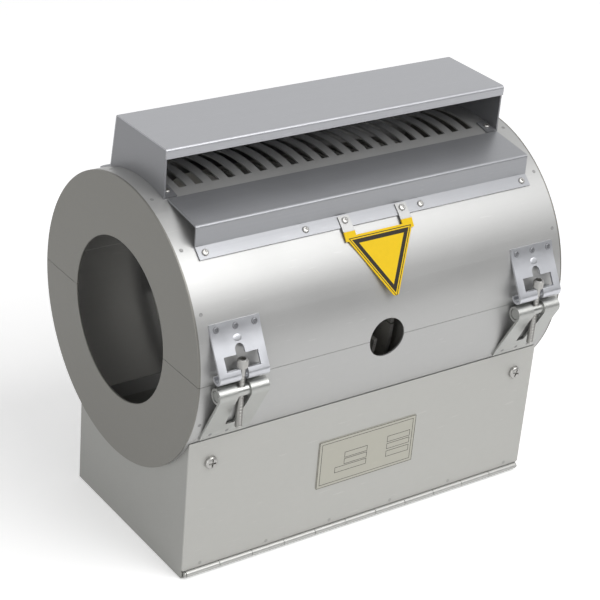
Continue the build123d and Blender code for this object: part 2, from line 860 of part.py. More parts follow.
def heater_castings():
    """Upper and lower finned castings, clamped round the barrel by ears and bolts."""
    blank = casting_blank()
    reach = shroud_radius * 2
    half_split = casting_split / 2
    upper = blank & block(-reach, reach, -reach, reach, half_split, reach)
    lower = blank & block(-reach, reach, -reach, reach, -reach, -half_split)
    for x in (-clamp_x, clamp_x):
        for side in (-1, 1):
            y0 = min(side * (casting_outside - 2), side * ear_reach)
            y1 = max(side * (casting_outside - 2), side * ear_reach)
            upper += block(x - ear_length / 2, x + ear_length / 2, y0, y1, half_split, ear_height)
            lower += block(x - ear_length / 2, x + ear_length / 2, y0, y1, -ear_height, -half_split)
            y = side * clamp_out
            room = clamp_head_radius + 1.5
            upper -= Pos(x, y, ear_height + 20) * Cylinder(room, 40)
            lower -= Pos(x, y, -ear_height - 20) * Cylinder(room, 40)
            bore = Pos(x, y, 0) * Cylinder(clamp_bolt_radius + clamp_fit, 60)
            upper -= bore
            lower -= bore
    probe = radial_cylinder(thermocouple_radius - 4, casting_inside - 10, fin_radius + 10, 0, thermocouple_x)
    upper -= probe
    lower -= probe
    for x in (-terminal_x, terminal_x):
        room = insulator_radius + terminal_room
        lower -= radial_cylinder(room, casting_outside, fin_radius + 10, lower_terminal_angle, x)
        upper -= radial_cylinder(room, casting_outside, fin_radius + 10, upper_terminal_angle, x)
    return at_axis(upper), at_axis(lower)


def clamp_places():
    """Stations of the four clamping bolts."""
    return [(x, side * clamp_out) for x in (-clamp_x, clamp_x) for side in (-1, 1)]


def clamp_bolts():
    """Hexagon-head bolts that pull the two castings together."""
    bolts = []
    length = 2 * ear_height + clamp_nut_height + 2.5
    for x, y in clamp_places():
        head = extrude(RegularPolygon(clamp_head_radius, 6, major_radius=False), clamp_head_height)
        shank = Pos(0, 0, -length / 2) * Cylinder(clamp_bolt_radius, length)
        bolts.append(at_axis(Pos(x, y, ear_height + weld_gap) * (head + shank)))
    return group(bolts)


def clamp_nuts():
    """Hexagon nuts under the lower ears."""
    nuts = []
    for x, y in clamp_places():
        nut = extrude(RegularPolygon(clamp_head_radius, 6, major_radius=False), -clamp_nut_height)
        nut -= Cylinder(clamp_bolt_radius + weld_gap, 4 * clamp_nut_height)
        nuts.append(at_axis(Pos(x, y, -ear_height - weld_gap) * nut))
    return group(nuts)


def terminal_places():
    """Angle and station of each heating element's end."""
    places = []
    for angle in (lower_terminal_angle, upper_terminal_angle):
        places += [(angle, -terminal_x), (angle, terminal_x)]
    return places


def terminal_insulators():
    """Stepped ceramic bushes round the terminal studs."""
    bushes = []
    foot = casting_outside + weld_gap
    waist = foot + insulator_height * 0.6
    end = foot + insulator_height
    for angle, x in terminal_places():
        bush = radial_cylinder(insulator_radius, foot, waist, angle, x)
        bush += radial_cylinder(insulator_radius * 0.7, waist - 0.5, end, angle, x)
        bush -= radial_cylinder(stud_radius + weld_gap, foot - 1, end + 1, angle, x)
        bushes.append(at_axis(bush))
    return group(bushes)


def terminal_studs():
    """Threaded ends of the cast-in heating elements."""
    foot = casting_outside + weld_gap
    end = foot + insulator_height + stud_length
    return group([
        at_axis(radial_cylinder(stud_radius, foot, end, angle, x)) for angle, x in terminal_places()
    ])


def terminal_nuts():
    """A hexagon nut on each stud, against its bush."""
    nuts = []
    seat = casting_outside + insulator_height + 3 * weld_gap
    for angle, x in terminal_places():
        nut = extrude(RegularPolygon(stud_nut_radius, 6), stud_nut_height)
        nut -= Cylinder(stud_radius + weld_gap, 4 * stud_nut_height)
        nut = Rot(-angle, 0, 0) * Pos(0, -seat, 0) * Rot(90, 0, 0) * nut
        nuts.append(at_axis(Pos(x, 0, 0) * nut))
    return group(nuts)


def saddle(side):
    """Upright plate, welded into the lower shell, that carries the lower casting between two fins."""
    inner = casting_outside + 2 * weld_gap
    outer = shell_inside - weld_gap
    flanks = arc_band(inner, outer, -saddle_low_angle, -saddle_top_angle)
    flanks += arc_band(inner, outer, saddle_top_angle - 180, saddle_low_angle - 180)
    web = arc_band(inner, saddle_web_radius, saddle_low_angle - 180.2, 0.2 - saddle_low_angle)
    return at_axis(along_x(flanks + web, saddle_sheet, side * saddle_x))


def write(name, shape):
    """Saves one piece."""
    export_step(shape, "parts/" + name + ".step")


os.makedirs("parts", exist_ok=True)

upper_shell, lower_shell = shells()
write("upper_shell", at_axis(upper_shell))
write("lower_shell", at_axis(lower_shell))
for plate_name, plate in end_plates().items():
    write(plate_name, at_axis(plate))
write("hood", at_axis(hood_shell()))
write("hood_cheek_left", at_axis(hood_cheek(-1)))
write("hood_cheek_right", at_axis(hood_cheek(1)))
write("air_deflector", at_axis(deflector()))
write("triangle_plate", at_axis(triangle_plate()))
write("flange_screws", flange_screws())
write("cheek_screws", cheek_screws())

write("base_tray", base_tray())
write("back_panel", back_panel())
write("front_door", door())
write("nameplate", nameplate())
write("door_screws", door_screws())
write("clinch_nuts", clinch_nuts())
write("hinge_leaf_base", hinge_leaf(0))
write("hinge_leaf_door", hinge_leaf(1))
write("hinge_pin", hinge_pin())

write("hook_rivets", hook_rivets())
for place, turn, station in latch_places():
    write("latch_hook_" + place, place_latch(latch_hook(), turn, station))
    write("latch_bracket_" + place, place_latch(latch_bracket(), turn, station))
    write("latch_trunnion_" + place, place_latch(trunnion(), turn, station))
    write("latch_bolt_" + place, place_latch(latch_bolt(), turn, station))

casting_upper, casting_lower = heater_castings()
write("casting_upper", casting_upper)
write("casting_lower", casting_lower)
write("clamp_bolts", clamp_bolts())
write("clamp_nuts", clamp_nuts())
write("terminal_insulators", terminal_insulators())
write("terminal_studs", terminal_studs())
write("terminal_nuts", terminal_nuts())
write("saddle_left", saddle(-1))
write("saddle_right", saddle(1))
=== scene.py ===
"""Looks of an air-cooled barrel heater: its sheet finishes, fasteners, printed plates and studio."""

import math

import bmesh
import bpy
from bpy.props import FloatProperty, FloatVectorProperty, PointerProperty
from bpy.types import Operator, Panel, PropertyGroup
from mathutils import Matrix, Vector


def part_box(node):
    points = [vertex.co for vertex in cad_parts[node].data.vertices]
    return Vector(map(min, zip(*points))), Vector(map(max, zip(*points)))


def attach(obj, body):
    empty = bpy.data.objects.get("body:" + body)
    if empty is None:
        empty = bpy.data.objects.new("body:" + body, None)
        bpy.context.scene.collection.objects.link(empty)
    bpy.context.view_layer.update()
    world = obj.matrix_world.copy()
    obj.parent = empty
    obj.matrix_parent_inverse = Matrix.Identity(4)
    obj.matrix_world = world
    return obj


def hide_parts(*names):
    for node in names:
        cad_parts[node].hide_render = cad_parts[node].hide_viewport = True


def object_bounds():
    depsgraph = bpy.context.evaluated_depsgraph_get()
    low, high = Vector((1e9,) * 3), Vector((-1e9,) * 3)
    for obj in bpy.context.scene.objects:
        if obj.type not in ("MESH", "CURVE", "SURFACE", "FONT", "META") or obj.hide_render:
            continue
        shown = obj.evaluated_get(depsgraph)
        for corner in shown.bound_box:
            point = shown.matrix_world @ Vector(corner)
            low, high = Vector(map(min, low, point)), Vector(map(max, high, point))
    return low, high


bl_info = {
    "name": "Air-cooled barrel heater",
    "version": (1, 0, 0),
    "blender": (4, 5, 0),
    "location": "View3D > Sidebar > Heater",
    "description": "Finishes, fasteners, plates and studio of an air-cooled barrel heater",
    "category": "Object",
}

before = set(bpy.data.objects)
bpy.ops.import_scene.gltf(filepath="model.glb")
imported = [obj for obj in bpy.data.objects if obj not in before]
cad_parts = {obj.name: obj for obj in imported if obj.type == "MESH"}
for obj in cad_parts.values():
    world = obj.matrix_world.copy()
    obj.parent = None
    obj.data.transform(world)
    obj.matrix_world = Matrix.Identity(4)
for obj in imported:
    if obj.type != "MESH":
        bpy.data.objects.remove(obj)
CAD_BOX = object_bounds()

MM = 0.001
PLACES = ("front_left", "front_right", "rear_left", "rear_right")
HOUSING = "housing"
DOOR = "door"
UP = Vector((0, 0, 1))
FORWARD = Vector((0, -1, 0))

# The barrel axis lies where the two half shells meet.
_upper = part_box("upper_shell")
_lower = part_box("lower_shell")
AXIS_Y = (_upper[0].y + _upper[1].y) / 2
AXIS_Z = (_upper[0].z + _lower[1].z) / 2
SHELL_RADIUS = (_upper[1].y - _upper[0].y) / 2
DOOR_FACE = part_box("front_door")[0].y

# Sizes of the solids that a box of the frame doesn't give, with angles above the split line in degrees
LATCH_SHEET = 1.5 * MM
LATCH_GAP = 0.05 * MM
HOOK_TOP_ANGLE = 22.7
HOOK_KINK_ANGLE = 18.0
BOLT_HEAD_HEIGHT = 5 * MM
SMALL_HEAD_HEIGHT = 1.6 * MM
DOOR_SCREW_RADIUS = 2.5 * MM
TRIANGLE_WIDTH = 56.6 * MM
TRIANGLE_CORNER_DROP = 3 * MM
TRIANGLE_TILT = 56.0

# Spot-weld marks
SHELL_MARK_X = 148 * MM
SHELL_MARK_ANGLES = (75, 51, 27, -18, -42)
HIDDEN_MARK_ANGLE = -42
BRACKET_MARK_ANGLE = -24.6
BRACKET_MARK_STEPS = (-12 * MM, 1 * MM, 12 * MM)
DOOR_MARK_COUNT = 6
DOOR_MARK_PITCH = 54.4 * MM
DOOR_MARK_Z = 9.5 * MM

# Printed boxes of the nameplate as (left, right, top, bottom) shares of the plate, and its two borders
NAMEPLATE_FIELDS = (
    (0.27, 0.50, 0.36, 0.47), (0.27, 0.50, 0.50, 0.61), (0.18, 0.50, 0.64, 0.75),
    (0.71, 0.945, 0.30, 0.42), (0.71, 0.945, 0.46, 0.57), (0.71, 0.945, 0.62, 0.74),
)
NAMEPLATE_INSETS = (0.4 * MM, 2.6 * MM)

# Camera: where it stands, and what is to its right, below it and ahead of it
CAMERA_PLACE = (-0.71926, -0.93962, 0.76122)
CAMERA_RIGHT = Vector((0.8216069, -0.5648008, 0.0772148))
CAMERA_DOWN = Vector((-0.2059711, -0.4204265, -0.8836388))
CAMERA_AHEAD = Vector((0.531543, 0.7100997, -0.461758))


class Socket:
    """An output of a node, so that the maths of a tree is written as Python expressions."""

    def __init__(self, graph, socket):
        self.graph = graph
        self.socket = socket

    def maths(self, operation, *values):
        return self.graph.node("ShaderNodeMath", {"operation": operation}, dict(enumerate(values)))

    def __add__(self, other):
        return self.maths("ADD", self, other)

    __radd__ = __add__

    def __sub__(self, other):
        return self.maths("SUBTRACT", self, other)

    def __rsub__(self, other):
        return self.maths("SUBTRACT", other, self)

    def __mul__(self, other):
        return self.maths("MULTIPLY", self, other)

    __rmul__ = __mul__

    def __truediv__(self, other):
        return self.maths("DIVIDE", self, other)

    def __neg__(self):
        return self * -1.0

    def __gt__(self, other):
        return self.maths("GREATER_THAN", self, other)

    def __abs__(self):
        return self.maths("ABSOLUTE", self)

    def least(self, other):
        return self.maths("MINIMUM", self, other)

    def most(self, other):
        return self.maths("MAXIMUM", self, other)

    def part(self, axis):
        """One of the three numbers of a vector."""
        return self.graph.node("ShaderNodeSeparateXYZ", inputs={0: self}, output=axis)

    def ramp(self, low, high):
        """0 up to low, 1 from high on."""
        return self.graph.node(
            "ShaderNodeMapRange",
            {"interpolation_type": "SMOOTHSTEP", "clamp": True},
            {0: self, 1: low, 2: high},
        )


class Graph:
    """Adds nodes to a shader tree or a geometry tree."""

    def __init__(self, tree):
        self.tree = tree

    def node(self, kind, settings=None, inputs=None, output=0):
        """A node of a type, with its settings set first and then the values or links of its sockets."""
        node = self.tree.nodes.new(kind)
        for key, value in (settings or {}).items():
            setattr(node, key, value)
        for key, value in (inputs or {}).items():
            if isinstance(value, Socket):
                self.tree.links.new(value.socket, node.inputs[key])
            elif isinstance(value, list):
                for each in reversed(value):
                    self.tree.links.new(each.socket, node.inputs[key])
            else:
                node.inputs[key].default_value = value
        return Socket(self, node.outputs[output]) if len(node.outputs) else None

    def mix(self, factor, first, second):
        """A colour between two others."""
        def full(colour):
            return colour if isinstance(colour, Socket) else (*colour[:3], 1)
        return self.node(
            "ShaderNodeMix", {"data_type": "RGBA"}, {0: factor, 6: full(first), 7: full(second)}, 2
        )

    def toned(self, colour, tone):
        """A colour made lighter or darker by a number."""
        first = colour if isinstance(colour, Socket) else tuple(colour)[:3]
        return self.node("ShaderNodeVectorMath", {"operation": "SCALE"}, {0: first, 3: tone})

    def place(self):
        """The position on the piece, in metres."""
        return self.node("ShaderNodeTexCoord", output="Object")

    def stretched(self, scale, turn=(0, 0, 0)):
        """The position, stretched or turned."""
        return self.node(
            "ShaderNodeMapping", {"vector_type": "POINT"},
            {"Vector": self.place(), "Rotation": turn, "Scale": scale},
        )

    def noise(self, where, scale, detail=3.0, roughness=0.55):
        """Soft noise from 0 to 1."""
        return self.node(
            "ShaderNodeTexNoise", {"noise_dimensions": "3D"},
            {"Vector": where, "Scale": scale, "Detail": detail, "Roughness": roughness},
        )

    def shown(self):
        """1 for rays from the camera, also by way of metal or glass, and 0 for light."""
        rays = [self.node("ShaderNodeLightPath", output=name)
                for name in ("Is Camera Ray", "Is Glossy Ray", "Is Transmission Ray")]
        return rays[0].most(rays[1]).most(rays[2])

    def bump(self, height, strength, distance):
        """A normal that follows a height."""
        return self.node(
            "ShaderNodeBump", inputs={"Strength": strength, "Distance": distance, "Height": height}
        )


def new_material(name):
    """A material with an empty tree."""
    material = bpy.data.materials.new(name)
    material.use_nodes = True
    material.node_tree.nodes.clear()
    return material, Graph(material.node_tree)


def finish_material(graph, colour, **sockets):
    """Ends a tree in a Principled shader."""
    names = {"roughness": "Roughness", "metallic": "Metallic", "normal": "Normal",
             "glow": "Emission Color", "shine": "Specular IOR Level"}
    inputs = {names[key]: value for key, value in sockets.items()}
    if "glow" in sockets:
        inputs["Emission Strength"] = 1.0
    inputs["Base Color"] = colour if isinstance(colour, Socket) else (*colour[:3], 1)
    shader = graph.node("ShaderNodeBsdfPrincipled", inputs=inputs)
    graph.node("ShaderNodeOutputMaterial", inputs={"Surface": shader})


def brushed_steel(name, colour, roughness, brush, contrast=0.07, mottle=0.08, metallic=0.62, relief=0.25):
    """Sheet with fine brush marks, soft clouds and a few light scratches. Brush holds the marks' scales."""
    material, graph = new_material(name)
    streaks = graph.noise(graph.stretched(brush), 1.0, 4.0, 0.7)
    clouds = graph.noise(graph.place(), 16.0, 4.0)
    spots = graph.noise(graph.place(), 190.0, 2.0)
    scratches = graph.noise(graph.stretched((60, 900, 500), (0.3, 0.5, 0.7)), 1.0, 1.0).ramp(0.70, 0.78)
    tone = 1 + (streaks - 0.5) * contrast + (clouds - 0.5) * mottle + (spots - 0.5) * 0.03
    shade = graph.toned(colour, tone + scratches * 0.06)
    rough = roughness + (clouds - 0.5) * 0.14 + (streaks - 0.5) * 0.10 - scratches * 0.05
    finish_material(
        graph, shade, roughness=rough, metallic=metallic,
        normal=graph.bump(streaks + spots * 0.4, relief, 0.00006),
    )
    return material


def plain_metal(name, colour, roughness, metallic=0.9, grain=420.0, mottle=0.10, relief=0.2):
    """Small turned, pressed or plated pieces: fine grain and a faint cloud of tarnish."""
    material, graph = new_material(name)
    fine = graph.noise(graph.place(), grain, 3.0)
    clouds = graph.noise(graph.place(), 60.0, 3.0)
    tone = 1 + (fine - 0.5) * mottle + (clouds - 0.5) * mottle
    rough = roughness + (clouds - 0.5) * 0.16 + (fine - 0.5) * 0.08
    finish_material(
        graph, graph.toned(colour, tone), roughness=rough, metallic=metallic,
        normal=graph.bump(fine, relief, 0.00008),
    )
    return material


def cast_metal(name, colour):
    """Sand-cast aluminium: a coarse skin with pores."""
    material, graph = new_material(name)
    skin = graph.noise(graph.place(), 700.0, 5.0, 0.7)
    clouds = graph.noise(graph.place(), 45.0, 4.0)
    pores = graph.noise(graph.place(), 330.0, 1.0).ramp(0.68, 0.74)
    tone = 1 + (skin - 0.5) * 0.25 + (clouds - 0.5) * 0.2 - pores * 0.3
    finish_material(
        graph, graph.toned(colour, tone), roughness=0.55 + (skin - 0.5) * 0.2, metallic=0.8,
        normal=graph.bump(skin - pores * 0.6, 0.5, 0.00025),
    )
    return material


def ceramic(name, colour):
    """Unglazed ceramic with faint speckles."""
    material, graph = new_material(name)
    fine = graph.noise(graph.place(), 900.0, 3.0)
    specks = graph.noise(graph.place(), 1500.0, 1.0).ramp(0.70, 0.76)
    finish_material(
        graph, graph.toned(colour, 1 + (fine - 0.5) * 0.08 - specks * 0.25),
        roughness=0.6 + (fine - 0.5) * 0.15, metallic=0.0, normal=graph.bump(fine, 0.3, 0.0001),
    )
    return material


def ink(name, colour):
    """Printed lines, slightly worn."""
    material, graph = new_material(name)
    wear = graph.noise(graph.place(), 1200.0, 2.0)
    finish_material(
        graph, graph.toned(colour, 1 + (wear - 0.5) * 0.5), roughness=0.5 + (wear - 0.5) * 0.2, metallic=0.0,
    )
    return material


def triangle_finish(name, yellow, black, steel, top, width, tilt):
    """Yellow film with a black border on the triangle and its ears; the tabs above stay bare."""
    material, graph = new_material(name)
    place = graph.place()
    along = abs(place.part(0) - top.x)
    down = (place.part(1) - top.y) * -math.cos(tilt) + (place.part(2) - top.z) * -math.sin(tilt)
    side = (width / 2 - along - down / math.sqrt(3)) * math.cos(math.radians(30))
    inset = down.least(side)
    soft = 0.15 * MM
    thin = inset.ramp(1.1 * MM, 1.1 * MM + soft) * (1 - inset.ramp(1.7 * MM, 1.7 * MM + soft))
    thick = inset.ramp(2.5 * MM, 2.5 * MM + soft) * (1 - inset.ramp(5.4 * MM, 5.4 * MM + soft))
    border = thin.most(thick)
    wear = graph.noise(place, 260.0, 3.0)
    film = graph.toned(graph.mix(border, yellow, black), 1 + (wear - 0.5) * 0.12)
    bare = 1 - down.ramp(-3.6 * MM, -3.3 * MM)
    colour = graph.mix(bare, film, graph.toned(steel, 1 + (wear - 0.5) * 0.1))
    finish_material(
        graph, colour, roughness=0.38 + (wear - 0.5) * 0.12 + bare * 0.05, metallic=bare * 0.85,
        normal=graph.bump(wear + border * 0.5, 0.2, 0.0001), shine=0.2,
    )
    return material


def dress(material, *nodes):
    """Gives CAD nodes a material."""
    for node in nodes:
        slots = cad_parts[node].data.materials
        slots.clear()
        slots.append(material)


def on_shell(x, angle, radius, back=False):
    """A point at an angle above the split line, and its outward direction."""
    turn = math.radians(angle)
    facing = Vector((0, math.cos(turn) if back else -math.cos(turn), math.sin(turn)))
    return Vector((x, AXIS_Y, AXIS_Z)) + facing * radius, facing


def solids_of(node):
    """The corners of each separate solid in a CAD node."""
    mesh = bmesh.new()
    mesh.from_mesh(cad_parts[node].data)
    bmesh.ops.remove_doubles(mesh, verts=mesh.verts, dist=1e-6)
    seen = set()
    solids = []
    for start in mesh.verts:
        if start in seen:
            continue
        seen.add(start)
        group = [start]
        for corner in group:
            for edge in corner.link_edges:
                other = edge.other_vert(corner)
                if other not in seen:
                    seen.add(other)
                    group.append(other)
        solids.append([corner.co.copy() for corner in group])
    mesh.free()
    return solids


def radial_seats(node, head_height):
    """Seat and outward direction of each fastener that points at the barrel axis."""
    seats = []
    for corners in solids_of(node):
        middle = sum(corners, Vector()) / len(corners)
        facing = Vector((0, middle.y - AXIS_Y, middle.z - AXIS_Z)).normalized()
        base = Vector((middle.x, AXIS_Y, AXIS_Z))
        top = max((corner - base).dot(facing) for corner in corners)
        seats.append((base + facing * (top - head_height), facing))
    return seats


def linked(name, data):
    """A new object in the scene."""
    made = bpy.data.objects.new(name, data)
    bpy.context.scene.collection.objects.link(made)
    return made


def points_piece(name, seats):
    """An object of bare points, each with the direction it faces."""
    mesh = bpy.data.meshes.new(name)
    mesh.from_pydata([seat for seat, _ in seats], [], [])
    facing = mesh.attributes.new("facing", "FLOAT_VECTOR", "POINT")
    facing.data.foreach_set("vector", [number for _, direction in seats for number in direction])
    return linked(name, mesh)


class Shape(Graph):
    """A geometry tree that is built in the script."""

    def __init__(self, name, sizes):
        super().__init__(bpy.data.node_groups.new(name, "GeometryNodeTree"))
        interface = self.tree.interface
        interface.new_socket(name="Geometry", in_out="INPUT", socket_type="NodeSocketGeometry")
        interface.new_socket(name="Material", in_out="INPUT", socket_type="NodeSocketMaterial")
        for size, value in sizes.items():
            socket = interface.new_socket(name=size, in_out="INPUT", socket_type="NodeSocketFloat")
            socket.default_value = value
        interface.new_socket(name="Geometry", in_out="OUTPUT", socket_type="NodeSocketGeometry")
        self.entry = self.tree.nodes.new("NodeGroupInput")

    def given(self, name):
        """One of the tree's named inputs."""
        return Socket(self, self.entry.outputs[name])

    def joined(self, *parts):
        return self.node("GeometryNodeJoinGeometry", inputs={0: list(parts)})

    def moved(self, shape, z=0.0, turn=(0.0, 0.0, 0.0)):
        return self.node(
            "GeometryNodeTransform",
            inputs={"Geometry": shape, "Translation": self.upwards(z), "Rotation": turn},
        )

    def upwards(self, z):
        return self.node("ShaderNodeCombineXYZ", inputs={2: z})

    def put(self, shape, x=0.0, y=0.0, z=0.0, tilt=0.0, turn=0.0, scale=(1.0, 1.0, 1.0)):
        """A shape moved anywhere, tilted about X and turned about Z."""
        where = self.node("ShaderNodeCombineXYZ", inputs={0: x, 1: y, 2: z})
        angles = self.node("ShaderNodeCombineXYZ", inputs={0: tilt, 2: turn})
        return self.node(
            "GeometryNodeTransform",
            inputs={"Geometry": shape, "Translation": where, "Rotation": angles, "Scale": scale},
        )

    def turned(self, profile, sides):
        """A turned solid. The profile is its (radius, height) pairs from the bottom up."""
        walls = []
        for (r0, z0), (r1, z1) in zip(profile, profile[1:]):
            wall = self.node(
                "GeometryNodeMeshCone", {"fill_type": "NONE"},
                {"Vertices": sides, "Radius Bottom": r0, "Radius Top": r1, "Depth": z1 - z0},
            )
            walls.append(self.moved(wall, z0))
        ends = []
        for radius, z in (profile[0], profile[-1]):
            disc = self.node(
                "GeometryNodeMeshCircle", {"fill_type": "NGON"}, {"Vertices": sides, "Radius": radius}
            )
            ends.append(self.moved(disc, z))
        ends[0] = self.node("GeometryNodeFlipFaces", inputs={0: ends[0]})
        return self.node(
            "GeometryNodeMergeByDistance", inputs={"Geometry": self.joined(*walls, *ends), "Distance": 1e-6}
        )

    def cut(self, shape, *tools):
        return self.node(
            "GeometryNodeMeshBoolean", {"operation": "DIFFERENCE", "solver": "EXACT"},
            {"Mesh 1": shape, "Mesh 2": list(tools)},
        )

    def box(self, x, y, z):
        size = self.node("ShaderNodeCombineXYZ", inputs={0: x, 1: y, 2: z})
        return self.node("GeometryNodeMeshCube", inputs={"Size": size})

    def smooth(self, shape, angle=0.5):
        """Smooth faces with sharp folds."""
        faces = self.node(
            "GeometryNodeSetShadeSmooth", {"domain": "FACE"}, {"Geometry": shape, "Shade Smooth": True}
        )
        folds = self.node("GeometryNodeInputMeshEdgeAngle") > angle
        return self.node(
            "GeometryNodeSetShadeSmooth", {"domain": "EDGE"},
            {"Geometry": faces, "Selection": folds, "Shade Smooth": False},
        )

    def end_with(self, shape):
        """Realizes the result and gives it the material."""
        real = self.node("GeometryNodeRealizeInstances", inputs={0: shape})
        dressed = self.node(
            "GeometryNodeSetMaterial", inputs={"Geometry": real, "Material": self.given("Material")}
        )
        self.node("NodeGroupOutput", inputs={0: dressed})
        return self.tree

    def set_at_points(self, shape, seed):
        """Puts a shape at each point, up along the point's direction, and turned about it at random."""
        facing = self.node(
            "GeometryNodeInputNamedAttribute", {"data_type": "FLOAT_VECTOR"}, {"Name": "facing"}
        )
        upright = self.node("FunctionNodeAlignRotationToVector", {"axis": "Z"}, {"Vector": facing})
        angle = self.node(
            "FunctionNodeRandomValue", {"data_type": "FLOAT"}, {2: -math.pi, 3: math.pi, "Seed": seed}, 1
        )
        turn = self.node("FunctionNodeEulerToRotation", inputs={0: self.upwards(angle)})
        rotation = self.node("FunctionNodeRotateRotation", {"rotation_space": "LOCAL"}, {0: upright, 1: turn})
        placed = self.node(
            "GeometryNodeInstanceOnPoints",
            inputs={"Points": self.given("Geometry"), "Instance": self.smooth(shape), "Rotation": rotation},
        )
        return self.end_with(placed)


def grown(piece, tree, material, sizes, body, slot, *replaced):
    """Runs a geometry tree on a piece, keeps the result as a plain mesh and hangs it on its body."""
    modifier = piece.modifiers.new(tree.name, "NODES")
    modifier.node_group = tree
    values = dict(sizes, Material=material)
    for item in tree.interface.items_tree:
        if item.item_type == "SOCKET" and item.in_out == "INPUT" and item.name in values:
            modifier[item.identifier] = values[item.name]
    graph = bpy.context.evaluated_depsgraph_get()
    mesh = bpy.data.meshes.new_from_object(
        piece.evaluated_get(graph), preserve_all_data_layers=True, depsgraph=graph
    )
    piece.modifiers.clear()
    piece.data = mesh
    mesh.name = piece.name
    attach(piece, body)
    if replaced:
        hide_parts(*replaced)
    return piece


def pan_head_tree():
    """Pan-head screw with a cross recess, from its seat up, and its shank."""
    shape = Shape("pan_head_screw", {
        "Head radius": 3 * MM, "Head height": 1.6 * MM, "Shank radius": 1.5 * MM, "Shank length": 6 * MM,
        "Recess": 3 * MM,
    })
    radius = shape.given("Head radius")
    height = shape.given("Head height")
    shank = shape.given("Shank radius")
    depth = shape.given("Shank length")
    head = shape.turned(
        [(radius * 0.97, 0.0), (radius, height * 0.12), (radius, height * 0.40),
         (radius * 0.94, height * 0.66), (radius * 0.80, height * 0.87), (radius * 0.58, height * 0.97),
         (radius * 0.3, height)],
        28,
    )
    recess = shape.given("Recess")
    blade = recess * 0.22
    arms = [
        shape.moved(shape.box(recess, blade, height), height),
        shape.moved(shape.box(blade, recess, height), height),
    ]
    head = shape.cut(head, *arms)
    tip = shape.turned([(shank * 0.7, -depth), (shank, -depth + shank * 0.4), (shank, height * 0.2)], 20)
    return shape.set_at_points(shape.joined(head, tip), seed=7)


def rivet_tree():
    """Blind rivet: a low dome with a small pit where the pin broke off, and its tail."""
    shape = Shape("blind_rivet", {"Head radius": 2.3 * MM, "Head height": 0.8 * MM, "Grip": 3.6 * MM})
    radius = shape.given("Head radius")
    height = shape.given("Head height")
    grip = shape.given("Grip")
    head = shape.turned(
        [(radius, 0.0), (radius * 0.98, height * 0.25), (radius * 0.90, height * 0.60),
         (radius * 0.78, height * 0.85), (radius * 0.62, height * 0.92), (radius * 0.52, height * 0.55),
         (radius * 0.44, height * 0.05), (radius * 0.25, height * 0.02)],
        24,
    )
    tail = shape.turned(
        [(radius * 0.7, -grip), (radius, -grip * 0.93), (radius * 0.9, -grip * 0.8),
         (radius * 0.62, -grip * 0.72), (radius * 0.62, height * 0.2)],
        18,
    )
    return shape.set_at_points(shape.joined(head, tail), seed=3)


def weld_mark_tree():
    """Spot-weld mark: a shallow round crater with a raised rim."""
    shape = Shape("spot_weld", {"Mark radius": 1.6 * MM, "Rim": 0.12 * MM})
    radius = shape.given("Mark radius")
    rim = shape.given("Rim")
    mark = shape.turned(
        [(radius, rim * -2.0), (radius * 0.95, rim * 0.5), (radius * 0.8, rim), (radius * 0.62, rim * 0.4),
         (radius * 0.3, rim * 0.25)],
        18,
    )
    return shape.set_at_points(mark, seed=5)


def cap_bolt_tree():
    """Socket-head cap bolt with a knurled head and a rolled thread, from its seat both ways."""
    shape = Shape("cap_bolt", {
        "Head radius": 4.25 * MM, "Head height": 5 * MM, "Socket": 4 * MM, "Shank radius": 2.5 * MM,
        "Length": 48 * MM, "Pitch": 0.8 * MM,
    })
    radius = shape.given("Head radius")
    height = shape.given("Head height")
    shank = shape.given("Shank radius")
    length = shape.given("Length")
    pitch = shape.given("Pitch")
    star = shape.node(
        "GeometryNodeCurveStar", inputs={"Points": 32, "Inner Radius": radius * 0.955, "Outer Radius": radius}
    )
    disc = shape.node("GeometryNodeFillCurve", {"mode": "NGONS"}, {0: star})
    walls = shape.node(
        "GeometryNodeExtrudeMesh", {"mode": "FACES"}, {"Mesh": disc, "Offset Scale": height * 0.88}
    )
    floor = shape.node("GeometryNodeFlipFaces", inputs={0: disc})
    knurl = shape.node(
        "GeometryNodeMergeByDistance", inputs={"Geometry": shape.joined(walls, floor), "Distance": 1e-6}
    )
    crown = shape.turned(
        [(radius * 0.94, height * 0.8), (radius * 0.94, height * 0.92), (radius * 0.86, height)], 32
    )
    key = shape.node(
        "GeometryNodeMeshCylinder", {"fill_type": "NGON"},
        {"Vertices": 6, "Radius": shape.given("Socket") * 0.577, "Depth": height},
    )
    key = shape.moved(key, height * 1.05)
    head = shape.joined(shape.cut(knurl, key), shape.cut(crown, key))
    core = shape.turned(
        [(shank * 0.72, -length), (shank * 0.86, -length + shank * 0.3), (shank * 0.86, height * 0.1)], 20
    )
    plain_length = 6 * MM
    chamfer = 1 * MM
    helix = shape.node(
        "GeometryNodeCurveSpiral",
        inputs={"Resolution": 18, "Rotations": (length - plain_length) / pitch, "Start Radius": shank * 0.9,
                "End Radius": shank * 0.9, "Height": length - plain_length},
    )
    wire = shape.node(
        "GeometryNodeCurvePrimitiveCircle", {"mode": "RADIUS"}, {"Resolution": 6, "Radius": shank * 0.1}
    )
    thread = shape.node(
        "GeometryNodeCurveToMesh", inputs={"Curve": helix, "Profile Curve": wire, "Fill Caps": True}
    )
    thread = shape.moved(thread, -length + chamfer)
    plain = shape.turned([(shank, -plain_length), (shank, 0.0)], 20)
    return shape.set_at_points(shape.joined(head, core, thread, plain), seed=2)


